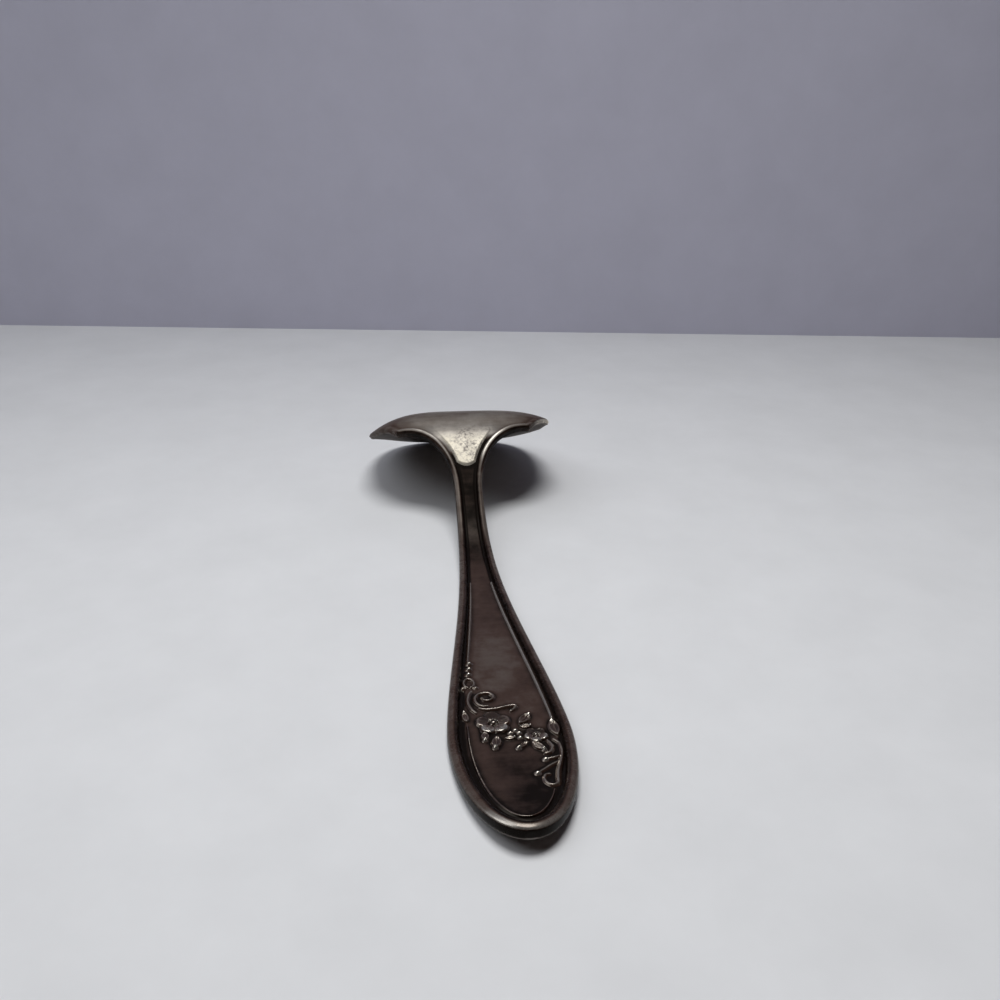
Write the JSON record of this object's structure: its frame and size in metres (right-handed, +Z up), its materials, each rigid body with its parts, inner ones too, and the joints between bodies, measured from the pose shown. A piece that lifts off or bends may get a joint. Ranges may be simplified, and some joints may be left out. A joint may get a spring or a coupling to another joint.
{
  "type": "jelly server",
  "caption": "Plated jelly server lying face down: teardrop handle with rounded border and floral spray, slim rising stem, flared neck and hooded scoop blade.",
  "frame": {"origin": "middle of the server's box, on the table that it lies on", "axes": "+Y from the handle's tip to the blade's front edge, +X across to the right seen from the handle, +Z up from the table"},
  "size_m": [0.0444, 0.15, 0.021],
  "materials": {
    "tarnished_plate": "silver plate under brown-black tarnish",
    "silver_plate": "silver plate, dulled and scratched",
    "worn_plate": "silver plate rubbed bright, pitted",
    "relief_plate": "silver plate, bright on the tops and dark in the hollows"
  },
  "bodies": {
    "root": {"handle": "tarnished_plate", "stem": "tarnished_plate", "neck": "silver_plate", "blade": "silver_plate", "heel": "worn_plate", "handle_border": "silver_plate", "stem_ridges": "silver_plate", "shoulder_ridges": "worn_plate", "thread_left": "relief_plate", "thread_right": "relief_plate", "thread_end": "relief_plate", "beads": "relief_plate", "bow": "relief_plate", "large_blossom": "relief_plate", "small_blossom": "relief_plate", "berries": "worn_plate", "upper_leaves": "relief_plate", "lower_leaves": "relief_plate", "upper_scrolls": "relief_plate", "lower_scrolls": "relief_plate"}
  },
  "joints": []
}
